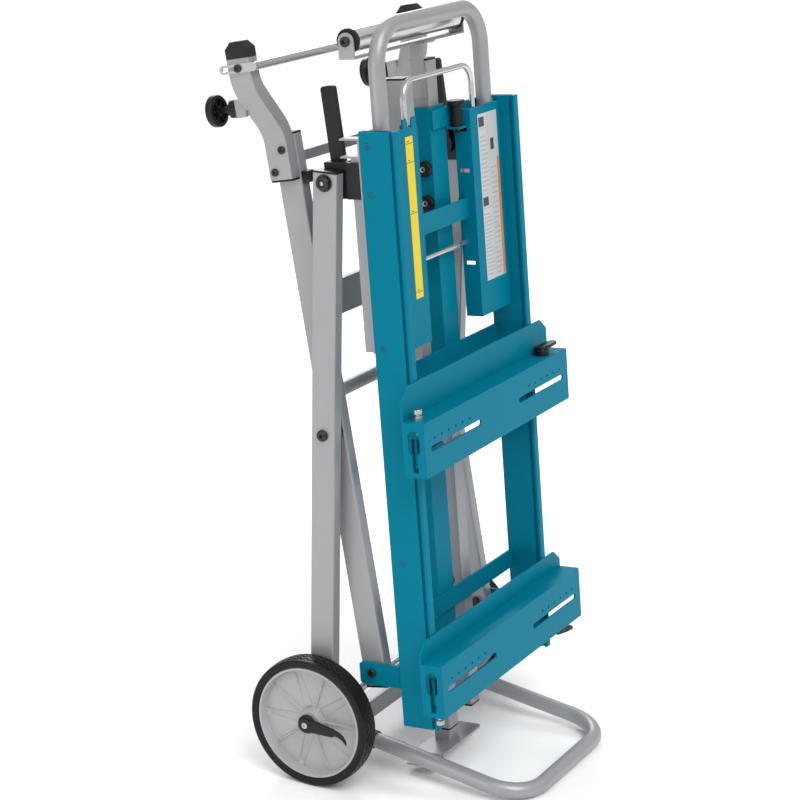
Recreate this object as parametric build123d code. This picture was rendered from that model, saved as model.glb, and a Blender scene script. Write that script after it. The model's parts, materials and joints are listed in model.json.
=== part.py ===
from build123d import *
import math
import os

# Folding miter-saw stand, folded and standing upright on two wheels and a foot loop.
# Millimetres. X runs across the stand, -Y is the front (the saw side), Z is up.

# ---------------------------------------------------------------- driving dimensions
WHEEL_D = 210.0            # tyre outside diameter
WHEEL_W = 35.0             # tyre width
RIM_D = 182.0              # rim outside diameter, under the tyre
RIM_DISH = 9.0             # how far the rim's disc lies inside the tyre's side
AXLE_D = 16.0
WHEEL_GAP = 7.0            # leg to wheel

SCISSOR_ARM = 388.0        # centre pivot to each end pivot, the same on both legs
AXLE_TO_PIVOT = 460.0      # axle to centre pivot, along the wheel legs
WHEEL_LEG_LEAN = -1.0      # degrees from upright, positive leans back
FOOT_LEG_LEAN = 10.6

LEG_W = 22.0               # leg tube, across
LEG_D = 41.0               # leg tube, front to back
LEG_WALL = 1.6
WHEEL_LEG_X = 199.0        # centre plane of each wheel leg
FOOT_LEG_X = 169.0         # centre plane of each foot leg
WHEEL_LEG_TOP = 14.0       # leg end beyond its top pivot
WHEEL_LEG_FOOT = 62.0      # leg end below the axle
FOOT_LEG_TAIL = 24.0       # leg end below its lower pivot
FOOT_LEG_LEN = 842.0       # lower pivot to the top end
CAP_T = 3.0                # thickness of the plastic tube plugs' heads

PIN_D = 10.0               # pivot pins
PIN_CLEAR = 0.06           # running clearance of a pin, on the radius

BAR_W = 22.0               # curved foot bar, across
BAR_D = 38.0               # curved foot bar, front to back
BAR_START = 778.0          # lower end, up the foot leg
BAR_BEND_1 = 850.0
BAR_BEND_2 = 926.0
BAR_END = 966.0
BAR_SPREAD = 60.0          # how far the bar's tip stands outside its lower end
BAR_RADIUS = 58.0
TIP_H = 24.0               # rubber tip

LOOP_D = 25.0              # foot loop tube
LOOP_WALL = 2.0
LOOP_X = 150.0             # side tubes' centre planes
LOOP_FRONT = -328.0        # front tube's centre
LOOP_RISE = 8.5            # degrees that the side tubes rise towards the back
LOOP_R = 62.0

TABLE_BACK = 55.0          # rail back edge, in front of the pivot line
RAIL_D = 62.0
RAIL_W = 14.0
RAIL_X = 189.0             # centre plane of each rail
RAIL_WALL = 2.6
RAIL_LOW = -77.0
RAIL_HIGH = 845.0
SLOT_W = 5.5               # T-slot mouth
SLOT_DEPTH = 4.2
SLOT_FROM_BACK = 52.0

HANDLE_D = 25.0
HANDLE_X = 161.0
HANDLE_N = 74.5            # handle plane, in front of the pivot line
HANDLE_TOP = 990.0
HANDLE_LOW = 640.0
HANDLE_R = 60.0
HANDLE_WALL = 2.0
SADDLE_V = (660.0, 842.0 - 8.0)
WIRE_D = 9.0
WIRE_X = 106.0
WIRE_TOP = 905.0
WIRE_LOW = 800.0
WIRE_R = 28.0

PLATE_T = 2.5              # sheet of the scale and label plates
PLATE_N = 90.0             # their front faces
PLATE_IN = 83.0            # their inner folds, from the centre plane
PLATE_FLANGE = 28.5
PLATE_LOW = 510.0
PLATE_HIGH = 838.0

BRACKET_T = 3.0            # saw bracket sheet
BRACKET_L = 480.0
BRACKET_H = 84.0
BRACKET_N = 155.0          # face, in front of the pivot line
BRACKET_UPPER_V = 341.0    # lower edge of the upper bracket's face
BRACKET_LOWER_V = -36.0
UPPER_LIP = 50.0           # lip above the top flange, in front of the rails
LOWER_LIP = 31.0
SLOT_L = 158.0             # saw mounting slots
SLOT_H = 9.0
SLOT_X = 143.0
SAW_HOLE_D = 4.5
SAW_HOLE_PITCH = 22.0
SAW_HOLES = 6
GLIDE = 0.5                # bracket to rail

ARM_TUBE = 30.0            # square extension tubes
ARM_WALL = 2.0
ARM_X = 38.0
ARM_N = 39.0               # tube centre, in front of the pivot line
ROLLER_ARM_LOW = -127.0
SUPPORT_ARM_LOW = -139.0
SUPPORT_ARM_HIGH = 900.0
ARM_CLEAR = 1.0            # tube to guide channel
CHANNEL_T = 2.5
CHANNEL_SIDE = 7.0         # tube side to channel side

ROLLER_D = 34.0
ROLLER_L = 316.0
ROLLER_V = 972.0
ROLLER_N = 30.0
ROLLER_EAR_X = 166.0
YOKE_GAP = 6.0
EAR_T = 3.0

LEVER_L = 136.0
LEVER_W = 23.0
LEVER_LEAN = 4.5          # degrees that the lock levers lean back

PAD_D = 48.0
PAD_T = 12.0
STUD_D = 9.0

# ---------------------------------------------------------------- places worked out
AXLE_Z = WHEEL_D / 2
WHEEL_IN = WHEEL_LEG_X + LEG_W / 2 + WHEEL_GAP
WHEEL_OUT = WHEEL_IN + WHEEL_W
LEG_GAP = WHEEL_LEG_X - FOOT_LEG_X - LEG_W
RAIL_IN = RAIL_X - RAIL_W / 2
RAIL_OUT = RAIL_X + RAIL_W / 2
RAIL_FRONT = TABLE_BACK + RAIL_D
TABLE_LEAN = (WHEEL_LEG_LEAN + FOOT_LEG_LEAN) / 2
FOLD_HALF = (FOOT_LEG_LEAN - WHEEL_LEG_LEAN) / 2


def step(point, lean, length):
    """Point reached from (y, z) by going up a line that leans back by lean degrees."""
    a = math.radians(lean)
    return (point[0] + length * math.sin(a), point[1] + length * math.cos(a))


AXLE = (0.0, AXLE_Z)
CENTRE = step(AXLE, WHEEL_LEG_LEAN, AXLE_TO_PIVOT)
TOP_PIVOT = step(CENTRE, WHEEL_LEG_LEAN, SCISSOR_ARM)
LOW_PIVOT = step(CENTRE, FOOT_LEG_LEAN, -SCISSOR_ARM)
ROLLER_ARM_HIGH = ROLLER_V - ROLLER_D / 2 - YOKE_GAP - EAR_T
ROLLER_TUBE_HIGH = ROLLER_ARM_HIGH - 26
TRACK_AT_REST = 2 * SCISSOR_ARM * math.cos(math.radians(FOLD_HALF))
TRACK_AT_OPEN = 2 * SCISSOR_ARM * math.cos(math.radians(45))


def frame_at(point, lean):
    """Frame whose Z runs up a line that leans back by lean degrees."""
    return Location((0, point[0], point[1]), (-lean, 0, 0))


WHEEL_LEG = frame_at(AXLE, WHEEL_LEG_LEAN)
FOOT_LEG = frame_at(LOW_PIVOT, FOOT_LEG_LEAN)
TABLE = frame_at(LOW_PIVOT, TABLE_LEAN)
SLIDER = frame_at(TOP_PIVOT, TABLE_LEAN)


# ---------------------------------------------------------------- small builders
def block(x0, x1, y0, y1, z0, z1):
    box = Box(abs(x1 - x0), abs(y1 - y0), abs(z1 - z0))
    return Pos((x0 + x1) / 2, (y0 + y1) / 2, (z0 + z1) / 2) * box


def rod_x(x0, x1, d, y=0.0, z=0.0):
    return Pos((x0 + x1) / 2, y, z) * Rot(0, 90, 0) * Cylinder(d / 2, abs(x1 - x0))


def rod_y(y0, y1, d, x=0.0, z=0.0):
    return Pos(x, (y0 + y1) / 2, z) * Rot(90, 0, 0) * Cylinder(d / 2, abs(y1 - y0))


def rod_z(z0, z1, d, x=0.0, y=0.0):
    return Pos(x, y, (z0 + z1) / 2) * Cylinder(d / 2, abs(z1 - z0))


def box_tube(w, d, wall, z0, z1, x=0.0, y=0.0, corner=3.0):
    """Rectangular tube along Z with rounded corners."""
    outer = RectangleRounded(w, d, corner)
    inner = RectangleRounded(w - 2 * wall, d - 2 * wall, max(corner - wall, 0.4))
    return Pos(x, y, z0) * extrude(outer - inner, z1 - z0)


def tube_plug(w, d, wall, z, up, x=0.0, y=0.0, depth=12.0):
    """Plastic plug with a thin head, pushed into the end of a rectangular tube."""
    head = Pos(x, y, z if up > 0 else z - CAP_T) * extrude(RectangleRounded(w, d, 3.0), CAP_T)
    shank = RectangleRounded(w - 2 * wall, d - 2 * wall, 1.4)
    start = z - depth if up > 0 else z
    return head + Pos(x, y, start) * extrude(shank, depth)


def bent_tube(points, radius, d, wall):
    """Round tube along straight runs joined by arcs."""
    path = FilletPolyline(*points, radius=radius)
    section = Plane(origin=path @ 0, z_dir=path % 0) * (Circle(d / 2) - Circle(d / 2 - wall))
    return sweep(section, path)


def bolt_x(x_face, side, head_d, head_h, shank_d, shank_l, y=0.0, z=0.0):
    """Button-head bolt along X; side is the way its head points, +1 or -1."""
    head = rod_x(x_face, x_face + side * head_h, head_d, y, z)
    head = fillet(head.edges().filter_by(GeomType.CIRCLE).sort_by(Axis.X)[-1 if side > 0 else 0],
                  head_h * 0.55)
    socket = rod_x(x_face + side * head_h * 0.45, x_face + side * head_h * 1.2, head_d * 0.32, y, z)
    return head - socket + rod_x(x_face, x_face - side * shank_l, shank_d, y, z)


def both_sides(part):
    return [part, part.mirror(Plane.YZ)]


def group(parts):
    return Compound(children=[solid for part in parts for solid in part.solids()])


def in_table(n0, n1):
    """Table-frame Y span of a piece between two distances in front of the pivot line."""
    return -n1, -n0


# ---------------------------------------------------------------- wheel legs (stands on the floor)
def wheel_leg(side):
    top = AXLE_TO_PIVOT + SCISSOR_ARM + WHEEL_LEG_TOP
    x = side * WHEEL_LEG_X
    leg = box_tube(LEG_W, LEG_D, LEG_WALL, -WHEEL_LEG_FOOT, top, x)
    for z, d in ((0, AXLE_D), (AXLE_TO_PIVOT, PIN_D), (AXLE_TO_PIVOT + SCISSOR_ARM, PIN_D)):
        clear = PIN_CLEAR if z == AXLE_TO_PIVOT else 0.0
        leg -= rod_x(x - LEG_W, x + LEG_W, d + 2 * clear, 0, z)
    return WHEEL_LEG * leg


def wheel_leg_plugs():
    top = AXLE_TO_PIVOT + SCISSOR_ARM + WHEEL_LEG_TOP
    plugs = []
    for side in (-1, 1):
        x = side * WHEEL_LEG_X
        plugs.append(WHEEL_LEG * tube_plug(LEG_W, LEG_D, LEG_WALL, top, 1, x, depth=3.0))
        plugs.append(WHEEL_LEG * tube_plug(LEG_W, LEG_D, LEG_WALL, -WHEEL_LEG_FOOT, -1, x))
    return group(plugs)


def axle():
    """Axle with a welded collar between each leg and its wheel."""
    collar = rod_x(WHEEL_LEG_X + LEG_W / 2, WHEEL_IN - 0.5, AXLE_D + 12)
    return Pos(0, 0, AXLE_Z) * (rod_x(-WHEEL_OUT - 4, WHEEL_OUT + 4, AXLE_D)
                                + collar + collar.mirror(Plane.YZ))


BASE_TUBE = 30.0
BASE_Y = 0.0
BASE_TUBE_Z = 62.0


def loop_height(y):
    return LOOP_D / 2 + (y - LOOP_FRONT) * math.tan(math.radians(LOOP_RISE))


def foot_loop():
    """Round-tube loop on the floor, welded to a square tube across the wheel legs."""
    x = WHEEL_LEG_X - LEG_W / 2
    base = Rot(0, 90, 0) * box_tube(BASE_TUBE, BASE_TUBE, LOOP_WALL, -x, x)
    base = Pos(0, BASE_Y, BASE_TUBE_Z) * base
    back = BASE_Y
    rise = [(y, loop_height(y)) for y in (back, LOOP_FRONT)]
    points = [(-LOOP_X, *rise[0]), (-LOOP_X, *rise[1]), (LOOP_X, *rise[1]), (LOOP_X, *rise[0])]
    loop = bent_tube(points, LOOP_R, LOOP_D, LOOP_WALL)
    loop -= block(-x, x, BASE_Y - BASE_TUBE / 2, back + 20, 0, WHEEL_D)
    return base + loop


def loop_sleeves():
    """Black sleeves over the loop's side tubes, near the wheels."""
    a, b = -66.0, -40.0
    length = (b - a) / math.cos(math.radians(LOOP_RISE))
    ring = Rot(90, 0, 0) * extrude(Circle(LOOP_D / 2 + 2.0) - Circle(LOOP_D / 2), length / 2, both=True)
    ring = Pos(-LOOP_X, (a + b) / 2, loop_height((a + b) / 2)) * Rot(LOOP_RISE, 0, 0) * ring
    return group(both_sides(ring))


def top_pivot_bolts():
    """Large button-head bolts at the wheel legs' top ends; each carries a slider block."""
    z = AXLE_TO_PIVOT + SCISSOR_ARM
    x = WHEEL_LEG_X + LEG_W / 2
    bolt = bolt_x(-x - 2.0, -1, 22, 6.5, PIN_D, LEG_W + 36, 0, z)
    washer = rod_x(-x - 2.0, -x, 26, 0, z)
    return group(both_sides(WHEEL_LEG * (bolt + washer)))


# ---------------------------------------------------------------- wheels
def tyre(side):
    mid = side * (WHEEL_IN + WHEEL_OUT) / 2
    body = rod_x(-WHEEL_W / 2, WHEEL_W / 2, WHEEL_D)
    body = fillet(body.edges().filter_by(GeomType.CIRCLE), 7.0)
    body -= rod_x(-WHEEL_W, WHEEL_W, RIM_D)
    return Pos(mid, 0, AXLE_Z) * body


def rim(side):
    mid = side * (WHEEL_IN + WHEEL_OUT) / 2
    half = WHEEL_W / 2 - 2.0
    barrel = rod_x(-half, half, RIM_D) - rod_x(-half - 1, half + 1, RIM_D - 8)
    disc = rod_x(half - RIM_DISH - 5, half - RIM_DISH, RIM_D - 6)
    hub = rod_x(-WHEEL_W / 2, half, 40)
    body = barrel + disc + hub
    body -= rod_x(-WHEEL_W, WHEEL_W, AXLE_D + 2 * PIN_CLEAR)
    if side < 0:
        body = body.mirror(Plane.YZ)
    return Pos(mid, 0, AXLE_Z) * body


def hub_lever(side):
    """Quick-release lever on the axle's end."""
    cup = rod_x(WHEEL_OUT - 1.4, WHEEL_OUT + 9, 30)
    cup -= rod_x(WHEEL_OUT - 5, WHEEL_OUT + 4.3, AXLE_D + 0.6)
    arm = extrude(Polygon((0, -9), (40, -8), (70, -4), (72, 3), (66, 6), (36, 5), (0, 9), align=None), 7)
    arm = Pos(WHEEL_OUT + 2.0, 0, 0) * Rot(0, 90, 0) * arm
    lever = cup + (Rot(-76, 0, 0) * arm - rod_x(WHEEL_OUT - 5, WHEEL_OUT + 4.3, AXLE_D + 0.6))
    if side < 0:
        lever = lever.mirror(Plane.YZ)
    return Pos(0, 0, AXLE_Z) * lever


# ---------------------------------------------------------------- foot legs
def foot_leg(side):
    x = side * FOOT_LEG_X
    leg = box_tube(LEG_W, LEG_D, LEG_WALL, -FOOT_LEG_TAIL, FOOT_LEG_LEN, x)
    leg -= rod_x(x - LEG_W, x + LEG_W, PIN_D + 2 * PIN_CLEAR, 0, 0)
    leg -= rod_x(x - LEG_W, x + LEG_W, PIN_D, 0, SCISSOR_ARM)
    for z, y in BAR_BOLTS:
        leg -= rod_x(x - LEG_W, x + LEG_W, 6, y, z)
    return FOOT_LEG * leg


BAR_BOLTS = ((BAR_START + 12, 9.0), (BAR_START + 44, -9.0))


def foot_leg_plugs():
    """Plastic plugs in the ends of the foot legs and in the lower ends of the foot bars."""
    bar_x = FOOT_LEG_X + LEG_W / 2 + BAR_W / 2
    plugs = []
    for side in (-1, 1):
        x = side * FOOT_LEG_X
        plugs.append(FOOT_LEG * tube_plug(LEG_W, LEG_D, LEG_WALL, FOOT_LEG_LEN, 1, x, depth=10))
        plugs.append(FOOT_LEG * tube_plug(LEG_W, LEG_D, LEG_WALL, -FOOT_LEG_TAIL, -1, x, depth=10))
        plugs.append(FOOT_LEG * tube_plug(BAR_W, BAR_D, LEG_WALL, BAR_START, -1, side * bar_x, depth=6))
    return group(plugs)


def bar_path():
    x = -(FOOT_LEG_X + LEG_W / 2 + BAR_W / 2)
    return FilletPolyline((x, BAR_START), (x, BAR_BEND_1), (x - BAR_SPREAD, BAR_BEND_2),
                          (x - BAR_SPREAD, BAR_END), radius=BAR_RADIUS)


def foot_bar(side):
    """Curved rectangular tube from the top of a foot leg out to its floor foot."""
    def band(width, depth):
        face = Plane.XZ * trace(bar_path(), width)
        return extrude(face, depth / 2, both=True)
    bar = band(BAR_W, BAR_D) - band(BAR_W - 2 * LEG_WALL, BAR_D - 2 * LEG_WALL)
    x = -(FOOT_LEG_X + LEG_W / 2)
    for z, y in BAR_BOLTS:
        bar -= rod_x(x - BAR_W - 1, x + 1, 6, y, z)
    tip_x = x - BAR_W / 2 - BAR_SPREAD
    bar -= rod_x(tip_x - BAR_W, tip_x + BAR_W, 6, 0, BAR_END - 14)
    bar += stud_bracket()
    if side > 0:
        bar = bar.mirror(Plane.YZ)
    return FOOT_LEG * bar


def foot_tips():
    """Rubber feet on the bars' tips, narrower at the end than at the tube."""
    x = -(FOOT_LEG_X + LEG_W / 2 + BAR_W / 2) - BAR_SPREAD
    low = Plane.XY.offset(TIP_H - 10) * RectangleRounded(BAR_W + 2, BAR_D + 2, 3)
    high = Plane.XY.offset(TIP_H) * RectangleRounded(BAR_W - 7, BAR_D - 13, 3)
    skirt = extrude(RectangleRounded(BAR_W + 2, BAR_D + 2, 3), TIP_H - 10)
    shank = Pos(0, 0, -9) * extrude(RectangleRounded(BAR_W - 2 * LEG_WALL, BAR_D - 2 * LEG_WALL, 1), 9)
    tip = Pos(x, 0, BAR_END) * (skirt + loft([low, high]) + shank)
    return group(both_sides(FOOT_LEG * tip))


def bar_bolts():
    x = FOOT_LEG_X + LEG_W / 2 + BAR_W
    bolts = [bolt_x(-x, -1, 12, 4.0, 6, BAR_W + LEG_W + 5, y, z) for z, y in BAR_BOLTS]
    nuts = [rod_x(-FOOT_LEG_X + LEG_W / 2, -FOOT_LEG_X + LEG_W / 2 + 5, 11, y, z)
            for z, y in BAR_BOLTS]
    pieces = [(bolt + nut) for bolt, nut in zip(bolts, nuts)]
    tip_x = x + BAR_SPREAD
    z = BAR_END - 14
    pieces.append(bolt_x(-tip_x - ROD_TAB_T, -1, 12, 4.0, 6, BAR_W + ROD_TAB_T + 4, 0, z))
    return group([side for piece in pieces for side in both_sides(FOOT_LEG * piece)])


ROD_TAB_T = 3.0
ROD_D = 13.0


def foot_rod():
    """Cross rod in front of the foot bars; its flattened, slotted ends lie on their outer sides."""
    x = FOOT_LEG_X + LEG_W / 2 + BAR_W + BAR_SPREAD
    z = BAR_END - 14
    y = -BAR_D / 2 - ROD_D / 2 - 0.4
    rod = rod_x(-x - ROD_TAB_T, x + ROD_TAB_T, ROD_D, y, z)
    tab = block(-x - ROD_TAB_T, -x, y, 26, z - 6.5, z + 6.5)
    tab += rod_x(-x - ROD_TAB_T, -x, 13, 26, z)
    slot = block(-x - 9, -x + 9, 0, 25, z - 3, z + 3) + rod_x(-x - 9, -x + 9, 6, 0, z) \
        + rod_x(-x - 9, -x + 9, 6, 25, z)
    tab -= slot
    rod += tab
    rod += tab.mirror(Plane.YZ)
    return FOOT_LEG * rod


def cross_members():
    """Folded brace, round tube and flat strap that join the two foot legs."""
    x = FOOT_LEG_X - LEG_W / 2
    z = SCISSOR_ARM + 190
    web = block(-x, x, 2, 4.5, z - 26, z + 26)
    lips = block(-x, x, 2, 16, z + 23.5, z + 26) + block(-x, x, 2, 16, z - 26, z - 23.5)
    z = SCISSOR_ARM + 54
    tube = rod_x(-x, x, 22, 0, z) - rod_x(-x - 1, x + 1, 18, 0, z)
    z = SCISSOR_ARM + 416
    strap = block(-x, x, -2, 2, z - 7.5, z + 7.5)
    return group([FOOT_LEG * (web + lips), FOOT_LEG * tube, FOOT_LEG * strap])


def centre_bolts():
    """Centre pivot bolts; they are fixed in the foot legs and turn in the wheel legs."""
    x = WHEEL_LEG_X + LEG_W / 2
    bolt = bolt_x(-x - 0.8, -1, 18, 4.5, PIN_D, x - FOOT_LEG_X + LEG_W / 2 + 3.8, 0, SCISSOR_ARM)
    nut_x = FOOT_LEG_X - LEG_W / 2
    nut = rod_x(-nut_x, -nut_x + 7, 16, 0, SCISSOR_ARM)
    return group(both_sides(FOOT_LEG * (bolt + nut)))


def leg_spacers():
    """Black washers between the legs at the centre pivot, and bumper blocks near the top."""
    x0 = FOOT_LEG_X + LEG_W / 2
    ring = rod_x(-x0 - LEG_GAP + 0.5, -x0, 36, 0, SCISSOR_ARM)
    ring -= rod_x(-x0 - LEG_GAP, -x0 + 1, PIN_D, 0, SCISSOR_ARM)
    z = SCISSOR_ARM + 388
    pad = block(-FOOT_LEG_X - 9, -FOOT_LEG_X + 9, -LEG_D / 2 - 12, -LEG_D / 2, z - 9, z + 9)
    pad = fillet(pad.edges().filter_by(Axis.X).group_by(Axis.Y)[0], 3)
    return group(both_sides(FOOT_LEG * ring) + both_sides(FOOT_LEG * pad))


FOOT_Z = 892.0
FOOT_X = 224.0
BOSS_BACK = 36.0


def stud_bracket():
    """Sheet bracket welded to the back of a foot bar; it holds the levelling foot."""
    plate = block(-FOOT_X - 13, -FOOT_X + 13, BOSS_BACK - 4, BOSS_BACK, FOOT_Z - 13, FOOT_Z + 13)
    plate -= rod_y(BOSS_BACK - 6, BOSS_BACK + 2, STUD_D + 0.6, -FOOT_X, FOOT_Z)
    arm = block(-FOOT_X - 13, -FOOT_X - 10, BAR_D / 2 - 1, BOSS_BACK, FOOT_Z - 13, FOOT_Z + 13)
    arm += block(-FOOT_X + 10, -FOOT_X + 13, BAR_D / 2 - 1, BOSS_BACK, FOOT_Z - 13, FOOT_Z + 13)
    return plate + arm


def lock_knobs():
    """Black knurled lock knobs on the studs, against the brackets."""
    knob = rod_y(BOSS_BACK + 0.3, BOSS_BACK + 14, 27, -FOOT_X, FOOT_Z)
    for i in range(8):
        a = math.radians(45 * i)
        x = -FOOT_X + 15 * math.cos(a)
        z = FOOT_Z + 15 * math.sin(a)
        knob -= rod_y(BOSS_BACK - 1, BOSS_BACK + 16, 5, x, z)
    knob -= rod_y(BOSS_BACK - 1, BOSS_BACK + 16, STUD_D + 0.6, -FOOT_X, FOOT_Z)
    return group(both_sides(FOOT_LEG * knob))


STUD_FRONT = BAR_D / 2 + 6
PAD_Y = BOSS_BACK + 36


def levelling_foot(side):
    """Threaded stud with a ribbed black pad."""
    stud = rod_y(STUD_FRONT, PAD_Y + 2, STUD_D, -FOOT_X, FOOT_Z)
    pad = rod_y(PAD_Y, PAD_Y + PAD_T, PAD_D, -FOOT_X, FOOT_Z)
    pad = fillet(pad.edges().filter_by(GeomType.CIRCLE), 3)
    pad -= rod_y(PAD_Y - 1, PAD_Y + 5, PAD_D - 12, -FOOT_X, FOOT_Z)
    pad += rod_y(PAD_Y, PAD_Y + 6, 15, -FOOT_X, FOOT_Z)
    for i in range(6):
        rib = block(5, PAD_D / 2 - 4, PAD_Y + 1, PAD_Y + 6, -1, 1)
        pad += Pos(-FOOT_X, 0, FOOT_Z) * Rot(0, 60 * i, 0) * rib
    foot = stud + pad
    if side > 0:
        foot = foot.mirror(Plane.YZ)
    return FOOT_LEG * foot


# ---------------------------------------------------------------- table
LUG_T = 5.0
LUG_GAP = 2.0


def pivot_lug():
    """Lug welded to a rail's back edge; a foot leg hangs on it."""
    x = FOOT_LEG_X + LEG_W / 2 + LUG_GAP
    plate = block(x, x + LUG_T, -TABLE_BACK, 22, -20, 16)
    plate = fillet(plate.edges().filter_by(Axis.X).group_by(Axis.Y)[-1], 6)
    return plate - rod_x(x - 1, x + LUG_T + 1, PIN_D, 0, 0)


def rail(side):
    """Extruded rail with a hollow back and a T-slot on each side near its front."""
    section = Pos(0, -(TABLE_BACK + RAIL_D / 2)) * RectangleRounded(RAIL_W, RAIL_D, 2)
    cavity_d = SLOT_FROM_BACK - 2 * RAIL_WALL
    cavity = Pos(0, -(TABLE_BACK + SLOT_FROM_BACK / 2)) * Rectangle(RAIL_W - 2 * RAIL_WALL, cavity_d)
    slot_y = -(TABLE_BACK + SLOT_FROM_BACK + SLOT_W / 2)
    section -= cavity
    for s in (-1, 1):
        section -= Pos(s * (RAIL_W / 2 - SLOT_DEPTH / 2), slot_y) * Rectangle(SLOT_DEPTH, SLOT_W)
    bar = extrude(section, RAIL_HIGH - RAIL_LOW)
    bar = Pos(RAIL_X, 0, RAIL_LOW) * bar + pivot_lug()
    if side < 0:
        bar = bar.mirror(Plane.YZ)
    return TABLE * bar


def lower_bolts():
    x = FOOT_LEG_X + LEG_W / 2 + LUG_GAP + LUG_T
    inner = FOOT_LEG_X - LEG_W / 2
    bolt = bolt_x(-x, -1, 15, 4.5, PIN_D, x - inner + 8, 0, 0)
    nut = rod_x(-inner + 0.8, -inner + 8, 16, 0, 0)
    return group(both_sides(TABLE * (bolt + nut)))


def side_plate(side):
    """Bent sheet between a rail and its inner fold, near the top of the table."""
    y0 = -PLATE_N
    face = block(PLATE_IN, RAIL_IN, y0, y0 + PLATE_T, PLATE_LOW, PLATE_HIGH)
    fold = block(PLATE_IN, PLATE_IN + PLATE_T, y0, y0 + PLATE_FLANGE, PLATE_LOW, PLATE_HIGH)
    edge = block(RAIL_IN - PLATE_T, RAIL_IN, y0, y0 + PLATE_FLANGE, PLATE_LOW, PLATE_HIGH)
    plate = face + fold + edge
    if side < 0:
        plate = plate.mirror(Plane.YZ)
        for x in (-118.0, -92.0):
            plate += block(x - 7, x + 7, y0, y0 + PLATE_T, PLATE_HIGH - 1, PLATE_HIGH + 14)
        plate -= rod_y(y0 - 1, y0 + PLATE_T + 1, 16, -105, PLATE_HIGH + 13)
    else:
        for z in (596.0, 742.0, 806.0):
            plate -= block(PLATE_IN - 1, PLATE_IN + 4, y0 + 7, y0 + 24, z - 3, z + 3)
    return TABLE * plate


def scale_and_label():
    """Adhesive scale strip and adhesive label on the side plates' faces."""
    front = -PLATE_N
    strip = block(-122, -99, front - 0.6, front, 582, 826)
    sheet = block(106, 170, front - 0.6, front, 562, 826)
    return group([TABLE * strip, TABLE * sheet])


def cross_bar():
    """Flat bar between the inner folds of the side plates."""
    body = block(-PLATE_IN, PLATE_IN, *in_table(74, 77), 668, 700)
    ends = block(-PLATE_IN, -PLATE_IN + 3, *in_table(62, 77), 668, 700)
    return TABLE * (body + ends + ends.mirror(Plane.YZ))


def tie_rod():
    return TABLE * rod_x(-PLATE_IN, PLATE_IN, 8, -68, 629)


CHANNEL_IN = ARM_TUBE / 2 + CHANNEL_SIDE
CHANNEL_FRONT = ARM_N + ARM_TUBE / 2 + ARM_CLEAR


def guide_channel(side, low, high):
    """Folded channel around the front of an extension tube."""
    x = side * ARM_X
    w = CHANNEL_IN + CHANNEL_T
    outer = block(x - w, x + w, *in_table(24, CHANNEL_FRONT + CHANNEL_T), low, high)
    inner = block(x - CHANNEL_IN, x + CHANNEL_IN, *in_table(20, CHANNEL_FRONT), low - 1, high + 1)
    return TABLE * (outer - inner)


UPPER_CHANNEL = (440.0, 850.0)
LOWER_CHANNEL = (-34.0, 330.0)


def guide_blocks():
    """Black glide blocks beside the extension tubes, and the round knobs that hold them."""
    pieces = []
    gap = CHANNEL_SIDE - 0.4
    for side, heights in ((1, (470.0, 700.0, 830.0)), (-1, (-16.0, 140.0, 310.0))):
        for z in heights:
            for s in (-1, 1):
                x = side * ARM_X + s * (CHANNEL_IN - gap / 2)
                pieces.append(TABLE * block(x - gap / 2, x + gap / 2, *in_table(27, 51), z - 14, z + 14))
    wall = ARM_X - CHANNEL_IN - CHANNEL_T
    for side, heights in ((1, (703.0, 756.0)), (-1, (63.0, 98.0))):
        for z in heights:
            knob = rod_x(wall - 8, wall, 25, -ARM_N - 5, z)
            knob = fillet(knob.edges().filter_by(GeomType.CIRCLE).sort_by(Axis.X)[0], 2)
            if side < 0:
                knob = knob.mirror(Plane.YZ)
            pieces.append(TABLE * knob)
    return group(pieces)


SHELF_X = 71.0             # plunger knob's shelf on the upper tie
SHELF_N = 73.0
SHELF_V = 813.0
TIE_T = 4.0


def channel_ties():
    """Cross members behind the rails' fronts that carry both channels."""
    n0 = CHANNEL_FRONT + CHANNEL_T
    ties = []
    for z0, z1 in ((-50, -20), (60, 90), (290, 320), (446, 476)):
        ties.append(TABLE * block(-RAIL_IN, RAIL_IN, *in_table(n0, n0 + TIE_T), z0, z1))
    top = block(ARM_X - CHANNEL_IN, RAIL_IN, *in_table(n0, n0 + TIE_T), 815, 845)
    top += block(SHELF_X - 11, SHELF_X + 11, *in_table(n0, SHELF_N + 11), SHELF_V - 3, SHELF_V)
    top += block(SHELF_X - 11, SHELF_X + 11, *in_table(n0, n0 + TIE_T), SHELF_V - 3, 816)
    ties.append(TABLE * (top - rod_z(SHELF_V - 4, SHELF_V + 1, 9, SHELF_X, -SHELF_N)))
    return group(ties)


TRACK_T = 2.5
TRACK_X0 = RAIL_IN + 1.0
TRACK_X1 = RAIL_OUT - 1.0


def slide_track(side):
    """Track behind each rail; the slider block of a wheel leg's top end runs along it."""
    low = TRACK_AT_OPEN - 34
    high = TRACK_AT_REST + 34
    web = block(TRACK_X0, TRACK_X1, *in_table(TABLE_BACK - TRACK_T, TABLE_BACK), low, high)
    fin = block(TRACK_X0 + 4, TRACK_X0 + 4 + TRACK_T, *in_table(36, TABLE_BACK), low, high)
    top = block(TRACK_X0 - 8, TRACK_X1, *in_table(22, TABLE_BACK), high, high + 3)
    stop = block(TRACK_X0 - 8, TRACK_X1, *in_table(22, TABLE_BACK), high + 26, high + 29)
    back = block(TRACK_X0, TRACK_X1, *in_table(TABLE_BACK - 3, TABLE_BACK), high, high + 29)
    body = web + fin + top + stop + back
    if side < 0:
        body = body.mirror(Plane.YZ)
    return TABLE * body


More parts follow.
